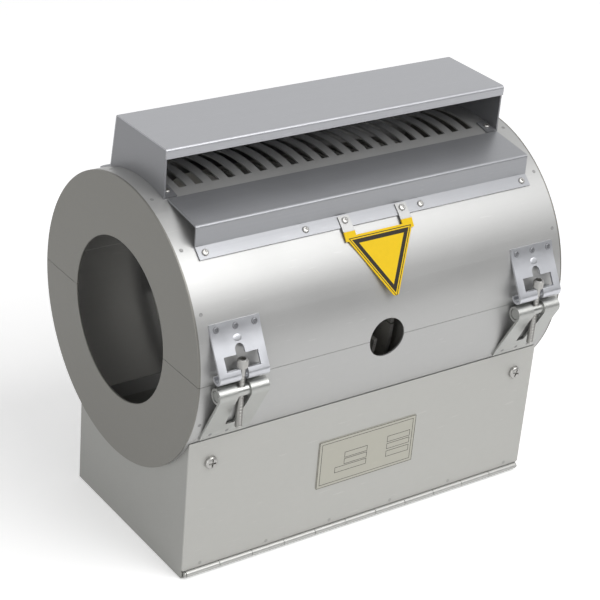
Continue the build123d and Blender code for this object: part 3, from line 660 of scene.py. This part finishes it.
def ruled_tree():
    """Flat printed lines along the edges of a wire mesh."""
    shape = Shape("printed_lines", {"Line width": 0.4 * MM, "Ink": 0.05 * MM})
    line = shape.node("GeometryNodeMeshToCurve", inputs={0: shape.given("Geometry")})
    section = shape.node(
        "GeometryNodeCurvePrimitiveQuadrilateral", {"mode": "RECTANGLE"},
        {0: shape.given("Ink"), 1: shape.given("Line width")},
    )
    lines = shape.node(
        "GeometryNodeCurveToMesh", inputs={"Curve": line, "Profile Curve": section, "Fill Caps": True}
    )
    return shape.end_with(lines)


def hook_path(middle, curl_radius):
    """Middle of the hook's sheet as (y, z) from the barrel axis: pad, eased bend, blade and open curl."""
    pad_steps, bend_steps, curl_steps = 3, 9, 22
    bend_angle = 3.0
    bend_reach = 9 * MM
    curl_wrap = math.radians(208)

    def on_pad(angle):
        turn = math.radians(angle)
        return Vector((-math.cos(turn), math.sin(turn))) * (SHELL_RADIUS + LATCH_GAP + LATCH_SHEET / 2)

    def on_curl(turn):
        return middle + Vector((math.cos(turn), math.sin(turn))) * curl_radius

    kink = on_pad(HOOK_KINK_ANGLE)
    away = kink - middle
    touch = math.atan2(away.y, away.x) + math.acos(curl_radius / away.length)
    pad_angle = HOOK_KINK_ANGLE + bend_angle - HOOK_TOP_ANGLE
    points = [on_pad(HOOK_TOP_ANGLE + pad_angle * step / pad_steps) for step in range(pad_steps + 1)]
    start = points[-1]
    end = kink + (on_curl(touch) - kink).normalized() * bend_reach
    for step in range(1, bend_steps + 1):
        share = step / bend_steps
        points.append(start * (1 - share) ** 2 + kink * 2 * share * (1 - share) + end * share ** 2)
    points += [on_curl(touch + curl_wrap * step / curl_steps) for step in range(curl_steps + 1)]
    return points


def path_piece(name, points):
    """A wire through points in the plane across the barrel axis."""
    mesh = bpy.data.meshes.new(name)
    corners = [(0.0, point.x, point.y) for point in points]
    mesh.from_pydata(corners, [(index, index + 1) for index in range(len(corners) - 1)], [])
    return linked(name, mesh)


def hook_tree():
    """Hook of a latch: a sheet swept along its path, with a key-shaped window and a slot in the curl."""
    shape = Shape("formed_hook", {
        "Width": 38 * MM, "Sheet": 1.5 * MM, "Window width": 26 * MM, "Window bottom": 12 * MM,
        "Window top": 20.5 * MM, "Key width": 7 * MM, "Key top": 26.5 * MM, "Slot back": -106.3 * MM,
        "Dimple y": 0.0, "Dimple z": 0.0, "Dimple tilt": 0.0, "Station": 0.0, "Turn": 0.0,
    })
    line = shape.node("GeometryNodeMeshToCurve", inputs={0: shape.given("Geometry")})
    section = shape.node(
        "GeometryNodeCurvePrimitiveQuadrilateral", {"mode": "RECTANGLE"},
        {0: shape.given("Width"), 1: shape.given("Sheet")},
    )
    sheet = shape.node(
        "GeometryNodeCurveToMesh", inputs={"Curve": line, "Profile Curve": section, "Fill Caps": True}
    )
    bottom = shape.given("Window bottom")
    top = shape.given("Window top")
    key = shape.given("Key width")
    key_middle = shape.given("Key top") - key / 2
    deep = 60 * MM
    front = -112 * MM
    slot_width = key * 0.8
    slot_height = 30 * MM
    slot_drop = 14 * MM
    window = shape.put(
        shape.box(shape.given("Window width"), deep, top - bottom), y=front, z=(top + bottom) / 2
    )
    stem = shape.put(shape.box(key, deep, key_middle - bottom), y=front, z=(key_middle + bottom) / 2)
    bore = shape.node(
        "GeometryNodeMeshCylinder", {"fill_type": "NGON"}, {"Vertices": 32, "Radius": key / 2, "Depth": deep}
    )
    bore = shape.put(bore, y=front, z=key_middle, tilt=math.pi / 2)
    slot = shape.put(
        shape.box(slot_width, deep, slot_height), y=shape.given("Slot back") - deep / 2, z=bottom - slot_drop
    )
    sheet = shape.cut(shape.cut(sheet, window), stem)
    sheet = shape.cut(shape.cut(sheet, bore), slot)
    dimple = shape.turned(
        [(3.0 * MM, -0.6 * MM), (2.9 * MM, 0.05 * MM), (2.4 * MM, 0.16 * MM), (1.5 * MM, 0.22 * MM),
         (0.6 * MM, 0.24 * MM)],
        28,
    )
    dimple = shape.put(
        dimple, y=shape.given("Dimple y"), z=shape.given("Dimple z"), tilt=shape.given("Dimple tilt"),
        scale=(1.1, 0.85, 1.0),
    )
    hook = shape.smooth(shape.joined(sheet, dimple))
    return shape.end_with(shape.put(hook, shape.given("Station"), AXIS_Y, AXIS_Z, turn=shape.given("Turn")))


def wire_piece(name, rectangles, y):
    """Edges of upright rectangles, each (x0, x1, z0, z1), in a plane that faces the front."""
    corners = []
    edges = []
    for x0, x1, z0, z1 in rectangles:
        first = len(corners)
        corners += [(x0, y, z0), (x1, y, z0), (x1, y, z1), (x0, y, z1)]
        edges += [(first + i, first + (i + 1) % 4) for i in range(4)]
    mesh = bpy.data.meshes.new(name)
    mesh.from_pydata(corners, edges, [])
    return linked(name, mesh)


def colour_property(name, description, default):
    return FloatVectorProperty(
        name=name, description=description, default=default, size=3, min=0, max=1, subtype="COLOR"
    )


def length_property(name, description, default):
    return FloatProperty(
        name=name, description=description, default=default, min=0, unit="LENGTH", precision=5
    )


class HEATER_PG_finish(PropertyGroup):
    """Colours and roughness of the finishes; the end plates' colour holds painted shade."""

    shroud: colour_property("Shroud", "Rolled sheet of the round shroud", (0.43, 0.43, 0.425))
    # Painted shade: the end plates are the shroud's steel, darkened to look like ends that face away from the
    # key lamp.
    ends: colour_property("End plates", "Cut sheet of the end plates", (0.20, 0.196, 0.18))
    hood: colour_property("Hood", "Folded sheet of the hood", (0.40, 0.405, 0.425))
    deflector: colour_property("Deflector", "Folded sheet of the deflector", (0.31, 0.315, 0.33))
    base: colour_property("Base", "Folded sheet of the base", (0.33, 0.33, 0.315))
    door: colour_property("Door", "Flat sheet of the door", (0.45, 0.448, 0.428))
    plate: colour_property("Nameplate", "Matt aluminium plate", (0.44, 0.43, 0.375))
    hook: colour_property("Hook", "Polished pressing of the latch", (0.56, 0.57, 0.60))
    bracket: colour_property("Bracket", "Matt pressing of the latch", (0.42, 0.425, 0.41))
    hinge: colour_property("Hinge", "Rolled strip of the hinge", (0.44, 0.44, 0.425))
    fastener: colour_property("Fasteners", "Plated screws and bolts", (0.42, 0.415, 0.40))
    yellow: colour_property("Film", "Yellow film of the triangular plate", (0.80, 0.53, 0.004))
    black: colour_property("Print", "Black print", (0.022, 0.018, 0.012))
    casting: colour_property("Casting", "Cast aluminium of the heater halves", (0.52, 0.51, 0.48))
    roughness: FloatProperty(name="Sheet roughness", description="Roughness of the sheets", default=0.42,
                             min=0.05, max=1)


class HEATER_PG_detail(PropertyGroup):
    """Sizes of the small pieces."""

    screw_head: length_property("Screw head", "Radius of the small pan heads", 2.4 * MM)
    screw_height: length_property("Screw head height", "Height of the small pan heads", 1.2 * MM)
    door_head: length_property("Door screw head", "Radius of the door screws' heads", 4.7 * MM)
    door_height: length_property("Door screw head height", "Height of the door screws' heads", 2.8 * MM)
    rivet_head: length_property("Rivet head", "Radius of the rivets' heads", 2.3 * MM)
    rivet_height: length_property("Rivet head height", "Height of the rivets' heads", 0.8 * MM)
    bolt_head: length_property("Bolt head", "Radius of the latch bolts' heads", 3.7 * MM)
    bolt_height: length_property("Bolt head height", "Height of the latch bolts' heads", 6.0 * MM)
    bolt_length: length_property("Bolt length", "Length of the latch bolts under the head", 45.5 * MM)
    curl: length_property("Curl", "Outer radius of the hooks' curled edge", 4.5 * MM)
    bolt_pitch: length_property("Thread pitch", "Pitch of the latch bolts' thread", 0.8 * MM)
    weld_mark: length_property("Weld mark", "Radius of the spot-weld marks", 1.4 * MM)
    line: length_property("Printed line", "Width of the printed lines", 0.55 * MM)


class HEATER_PG_studio(PropertyGroup):
    """Light and camera."""

    lens: FloatProperty(name="Lens", description="Focal length on a 36 mm sensor", default=111.63,
                        min=10, unit="CAMERA")
    daylight: FloatProperty(name="Surround", description="Level of the even light", default=0.45, min=0)
    key: FloatProperty(name="Key", description="Power of the key lamp", default=52.0, min=0, unit="POWER")
    floor: colour_property("Floor", "Colour of the floor", (0.93, 0.93, 0.93))
    glow: FloatProperty(name="Backdrop", description="What the floor adds to its own colour in the picture",
                        default=0.34, min=0)


class HEATER_OT_sheets(Operator):
    """Finishes the shroud, hood, deflector, base, door and hinge, with painted shade in the colours of the
    end plates and the hood cheeks
    """

    bl_idname = "heater.sheets"
    bl_label = "Sheets"

    def execute(self, context):
        finish = context.scene.heater_finish
        rough = finish.roughness
        lengthwise = (6, 900, 900)
        upright = (700, 16, 500)
        # Painted shade: the hood cheeks are the hood's own sheet at 0.6 of its colour, darkened to look like
        # its shaded side faces.
        cheek_painted_shade = Vector(finish.hood) * 0.6
        ends = ["end_plate_" + place for place in ("upper_left", "upper_right", "lower_left", "lower_right")]
        sheets = (
            ("rolled_sheet", finish.shroud, rough, (14, 600, 600), 0.05, 0.07,
             ("upper_shell", "lower_shell")),
            # The end plates' darker colour is painted shade.
            ("cut_sheet_painted_shade", finish.ends, rough + 0.04, upright, 0.07, 0.12, ends),
            ("folded_sheet", finish.hood, rough - 0.04, lengthwise, 0.12, 0.08, ("hood",)),
            ("cheek_sheet_painted_shade", cheek_painted_shade, rough, upright, 0.07, 0.1, ("hood_cheek_left", "hood_cheek_right")),
            ("ledge_sheet", finish.deflector, rough - 0.04, lengthwise, 0.12, 0.08, ("air_deflector",)),
            ("base_sheet", finish.base, rough + 0.06, (500, 18, 500), 0.07, 0.14,
             ("base_tray", "back_panel", "saddle_left", "saddle_right")),
            ("door_sheet", finish.door, rough + 0.05, (10, 600, 600), 0.05, 0.08, ("front_door",)),
            ("hinge_strip", finish.hinge, rough, (60, 900, 900), 0.08, 0.12,
             ("hinge_leaf_base", "hinge_leaf_door", "hinge_pin")),
        )
        for name, colour, roughness, brush, contrast, mottle, nodes in sheets:
            dress(brushed_steel(name, colour, roughness, brush, contrast, mottle), *nodes)
        return {"FINISHED"}


class HEATER_OT_castings(Operator):
    """Finishes the heater halves, their bolts and their terminals"""

    bl_idname = "heater.castings"
    bl_label = "Castings"

    def execute(self, context):
        finish = context.scene.heater_finish
        dress(cast_metal("cast_aluminium", finish.casting), "casting_upper", "casting_lower")
        dress(plain_metal("plated_steel", finish.fastener, 0.36), "clamp_bolts", "clamp_nuts", "clinch_nuts")
        dress(ceramic("fired_ceramic", (0.70, 0.67, 0.60)), "terminal_insulators")
        dress(plain_metal("turned_brass", (0.55, 0.40, 0.16), 0.3), "terminal_studs", "terminal_nuts")
        return {"FINISHED"}


class HEATER_OT_latches(Operator):
    """Finishes the latches and makes their hooks, bolts and rivets"""

    bl_idname = "heater.latches"
    bl_label = "Latches"

    def execute(self, context):
        finish = context.scene.heater_finish
        detail = context.scene.heater_detail
        hook = plain_metal("polished_pressing", finish.hook, 0.33, 0.75, 300.0, 0.06, 0.08)
        bracket = plain_metal("matt_pressing", finish.bracket, 0.42, 0.85)
        rod = plain_metal("turned_rod", finish.bracket, 0.3)
        bolt = plain_metal("plated_bolt", finish.fastener, 0.3)
        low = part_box("latch_hook_front_left")[0]
        curl_middle = Vector((low.y - AXIS_Y + detail.curl, low.z - AXIS_Z + detail.curl))
        path = hook_path(curl_middle, detail.curl - LATCH_SHEET / 2)
        before_dimple, dimple, after_dimple = path[8:11]
        along = (after_dimple - before_dimple).normalized()
        outward = Vector((along.y, -along.x))
        dimple = dimple + outward * LATCH_SHEET / 2
        formed = hook_tree()
        for place in PLACES:
            low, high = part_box("latch_hook_" + place)
            sizes = {
                "Width": high.x - low.x, "Sheet": LATCH_SHEET, "Dimple y": dimple.x, "Dimple z": dimple.y,
                "Dimple tilt": math.atan2(-outward.x, outward.y), "Station": (low.x + high.x) / 2,
                "Turn": math.pi if place.startswith("rear") else 0.0,
            }
            grown(path_piece("formed_hook_" + place, path), formed, hook, sizes, HOUSING, "hook_steel",
                  "latch_hook_" + place)
        tree = cap_bolt_tree()
        for place in PLACES:
            dress(bracket, "latch_bracket_" + place)
            dress(rod, "latch_trunnion_" + place)
            low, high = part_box("latch_bolt_" + place)
            seat = Vector(((low.x + high.x) / 2, (low.y + high.y) / 2, high.z - BOLT_HEAD_HEIGHT))
            piece = points_piece("threaded_bolt_" + place, [(seat, UP)])
            sizes = {
                "Head radius": detail.bolt_head, "Head height": detail.bolt_height,
                "Length": detail.bolt_length, "Pitch": detail.bolt_pitch,
            }
            grown(piece, tree, bolt, sizes, "bolt_" + place, "bolt_steel", "latch_bolt_" + place)
        # Painted shade: the rivets take the hook's colour at 0.38, so that the shade in their pits is spread
        # over the whole rivet.
        rivet = plain_metal("rivet_aluminium_painted_shade", Vector(finish.hook) * 0.38, 0.4, 0.6)
        seats = radial_seats("hook_rivets", detail.rivet_height)
        sizes = {"Head radius": detail.rivet_head, "Head height": detail.rivet_height}
        piece = points_piece("blind_rivets", seats)
        grown(piece, rivet_tree(), rivet, sizes, HOUSING, "rivet_metal", "hook_rivets")
        return {"FINISHED"}


class HEATER_OT_screws(Operator):
    """Makes the small screws of the shroud and the two door screws"""

    bl_idname = "heater.screws"
    bl_label = "Screws"

    def execute(self, context):
        finish = context.scene.heater_finish
        detail = context.scene.heater_detail
        plated = plain_metal("plated_screw", finish.fastener, 0.32)
        tree = pan_head_tree()
        sizes = {
            "Head radius": detail.screw_head, "Head height": detail.screw_height, "Recess": detail.screw_head,
        }
        for node, name in (("flange_screws", "foot_screws"), ("cheek_screws", "hood_screws")):
            seats = radial_seats(node, SMALL_HEAD_HEIGHT)
            grown(points_piece(name, seats), tree, plated, sizes, HOUSING, "screw_steel", node)
        seats = []
        for corners in solids_of("door_screws"):
            middle = sum(corners, Vector()) / len(corners)
            seats.append((Vector((middle.x, DOOR_FACE, middle.z)), FORWARD))
        sizes = {
            "Head radius": detail.door_head, "Head height": detail.door_height,
            "Recess": detail.door_head * 1.2, "Shank radius": DOOR_SCREW_RADIUS,
            "Shank length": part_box("door_screws")[1].y - DOOR_FACE,
        }
        grown(points_piece("captive_screws", seats), tree, plated, sizes, DOOR, "screw_steel", "door_screws")
        return {"FINISHED"}


class HEATER_OT_weld_marks(Operator):
    """Makes the spot-weld marks on the shroud, the latches' feet and the door"""

    bl_idname = "heater.weld_marks"
    bl_label = "Weld marks"

    def execute(self, context):
        finish = context.scene.heater_finish
        detail = context.scene.heater_detail
        tree = weld_mark_tree()
        mark = plain_metal("weld_mark", Vector(finish.shroud) * 0.62, 0.5, 0.7)
        sizes = {"Mark radius": detail.weld_mark}
        seats = []
        for x in (-SHELL_MARK_X, SHELL_MARK_X):
            for angle in SHELL_MARK_ANGLES:
                for back in (False, True):
                    if back or angle != HIDDEN_MARK_ANGLE:
                        seats.append(on_shell(x, angle, SHELL_RADIUS, back))
        on_foot = SHELL_RADIUS + LATCH_GAP + LATCH_SHEET
        for place in PLACES:
            low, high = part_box("latch_bracket_" + place)
            for step in BRACKET_MARK_STEPS:
                x = (low.x + high.x) / 2 + step
                seats.append(on_shell(x, BRACKET_MARK_ANGLE, on_foot, place.startswith("rear")))
        grown(points_piece("shroud_weld_marks", seats), tree, mark, sizes, HOUSING, "shroud_steel")
        seats = []
        for index in range(DOOR_MARK_COUNT):
            x = (index - (DOOR_MARK_COUNT - 1) / 2) * DOOR_MARK_PITCH
            seats.append((Vector((x, DOOR_FACE, DOOR_MARK_Z)), FORWARD))
        mark = plain_metal("door_weld_mark", Vector(finish.door) * 0.8, 0.5, 0.7)
        grown(points_piece("door_weld_marks", seats), tree, mark, sizes, DOOR, "door_steel")
        return {"FINISHED"}


class HEATER_OT_plates(Operator):
    """Finishes the blank nameplate and the triangular plate"""

    bl_idname = "heater.plates"
    bl_label = "Plates"

    def execute(self, context):
        finish = context.scene.heater_finish
        detail = context.scene.heater_detail
        dress(brushed_steel("matt_plate", finish.plate, 0.5, (8, 900, 900), 0.05, 0.06, 0.45), "nameplate")
        low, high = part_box("nameplate")
        width = high.x - low.x
        height = high.z - low.z
        boxes = [
            (low.x + left * width, low.x + right * width, high.z - bottom * height, high.z - top * height)
            for left, right, top, bottom in NAMEPLATE_FIELDS
        ]
        for inset in NAMEPLATE_INSETS:
            boxes.append((low.x + inset, high.x - inset, low.z + inset, high.z - inset))
        piece = wire_piece("nameplate_lines", boxes, low.y)
        print_ink = ink("plate_ink", (0.035, 0.034, 0.032))
        grown(piece, ruled_tree(), print_ink, {"Line width": detail.line}, DOOR, "nameplate_metal")
        low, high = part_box("triangle_plate")
        tilt = math.radians(TRIANGLE_TILT)
        tip = Vector(((low.x + high.x) / 2, low.y, low.z))
        depth = TRIANGLE_WIDTH * math.sqrt(3) / 2
        top = tip + Vector((0, math.cos(tilt), math.sin(tilt))) * (depth - TRIANGLE_CORNER_DROP)
        bare = Vector(finish.shroud) * 0.8
        film = triangle_finish("yellow_film", finish.yellow, finish.black, bare, top, TRIANGLE_WIDTH, tilt)
        dress(film, "triangle_plate")
        return {"FINISHED"}


def flat_sheet(name, corners):
    """A flat rectangle through four corners."""
    mesh = bpy.data.meshes.new(name)
    mesh.from_pydata(corners, [], [(0, 1, 2, 3)])
    return linked(name, mesh)


def matt_material(name, colour, contrast, roughness, glow=None):
    """A matt, faintly uneven finish. Glow is what it adds in the picture and in metal, without any light."""
    material, graph = new_material(name)
    grain = graph.noise(graph.place(), 3.0, 2.0)
    added = {"glow": graph.toned((1, 1, 1), graph.shown() * glow)} if glow else {}
    finish_material(
        graph, graph.toned(colour, 1 + (grain - 0.5) * contrast), roughness=roughness, metallic=0.0, **added
    )
    return material


def make_floor(studio, level):
    """A pale floor that turns white in the picture and keeps the object's shadow."""
    reach = 6.0
    corners = [(-reach, -reach, level), (reach, -reach, level), (reach, reach, level), (-reach, reach, level)]
    floor = flat_sheet("floor", corners)
    floor.data.materials.append(matt_material("floor", studio.floor, 0.01, 0.8, studio.glow))


def make_world(studio):
    """An even light that is plain on the object and white behind it."""
    world = bpy.data.worlds.new("studio")
    bpy.context.scene.world = world
    world.use_nodes = True
    world.node_tree.nodes.clear()
    graph = Graph(world.node_tree)
    strength = studio.daylight + graph.shown() * (1 - studio.daylight)
    light = graph.node("ShaderNodeBackground", inputs={"Color": (1, 1, 1, 1), "Strength": strength})
    graph.node("ShaderNodeOutputWorld", inputs={"Surface": light})


def make_card(level):
    """A dark card in front of the object, seen only as the soft dark band in the metal."""
    half_width = 1.6
    height = 0.9
    distance = 2.2
    corners = [(-half_width, 0, 0), (half_width, 0, 0), (half_width, 0, height), (-half_width, 0, height)]
    card = flat_sheet("card", corners)
    toward = Vector((0.53, -0.78, 0.0)).normalized()
    card.location = (toward.x * distance, AXIS_Y + toward.y * distance, level)
    card.rotation_euler = toward.to_track_quat("-Y", "Z").to_euler()
    card.visible_camera = False
    card.visible_diffuse = False
    card.visible_shadow = False
    card.data.materials.append(matt_material("card", (0.06, 0.06, 0.06), 0.1, 0.9))


def make_lamps(studio):
    """The key lamp above and in front, and a weak lamp from the side."""
    middle = Vector((0, AXIS_Y, AXIS_Z))
    distance = 3.0
    lamps = (
        ("key", Vector((0.27, -0.58, 0.77)), 2.2, studio.key),
        ("side", Vector((-0.8, -0.55, 0.25)), 1.6, studio.key * 0.2),
    )
    for name, direction, size, power in lamps:
        data = bpy.data.lights.new(name, "AREA")
        data.shape = "DISK"
        data.size = size
        data.energy = power
        lamp = linked(name, data)
        lamp.location = middle + direction.normalized() * distance
        lamp.rotation_euler = (-direction).to_track_quat("-Z", "Y").to_euler()


def make_camera(studio):
    """The camera that the photograph was taken with, as near as it can be worked out."""
    data = bpy.data.cameras.new("camera")
    data.lens = studio.lens
    data.sensor_width = 36.0
    data.clip_start = 0.05
    data.clip_end = 50.0
    camera = linked("camera", data)
    turn = Matrix((CAMERA_RIGHT, -CAMERA_DOWN, -CAMERA_AHEAD)).transposed().to_4x4()
    camera.matrix_world = Matrix.Translation(CAMERA_PLACE) @ turn
    bpy.context.scene.camera = camera


class HEATER_OT_stage(Operator):
    """Makes the floor, the card, the light and the camera"""

    bl_idname = "heater.stage"
    bl_label = "Stage"

    def execute(self, context):
        studio = context.scene.heater_studio
        level = CAD_BOX[0].z - 0.2 * MM
        make_floor(studio, level)
        make_world(studio)
        make_card(level)
        make_lamps(studio)
        make_camera(studio)
        context.scene.view_settings.view_transform = "Standard"
        return {"FINISHED"}


class HEATER_PT_panel(Panel):
    """Steps of the barrel heater"""

    bl_idname = "HEATER_PT_panel"
    bl_label = "Barrel heater"
    bl_space_type = "VIEW_3D"
    bl_region_type = "UI"
    bl_category = "Heater"

    def draw(self, context):
        for group in (context.scene.heater_finish, context.scene.heater_detail, context.scene.heater_studio):
            for name in type(group).__annotations__:
                self.layout.prop(group, name)
        for step in STEPS:
            self.layout.operator(step.bl_idname)


STEPS = (
    HEATER_OT_sheets, HEATER_OT_castings, HEATER_OT_latches, HEATER_OT_screws, HEATER_OT_weld_marks,
    HEATER_OT_plates, HEATER_OT_stage,
)
GROUPS = {
    "heater_finish": HEATER_PG_finish,
    "heater_detail": HEATER_PG_detail,
    "heater_studio": HEATER_PG_studio,
}
CLASSES = (*GROUPS.values(), *STEPS, HEATER_PT_panel)


def register():
    for each in CLASSES:
        bpy.utils.register_class(each)
    for name, group in GROUPS.items():
        setattr(bpy.types.Scene, name, PointerProperty(type=group))


def unregister():
    for name in GROUPS:
        delattr(bpy.types.Scene, name)
    for each in reversed(CLASSES):
        bpy.utils.unregister_class(each)


def main():
    register()
    for step in STEPS:
        group, name = step.bl_idname.split(".")
        getattr(getattr(bpy.ops, group), name)()


if __name__ == "__main__":
    main()
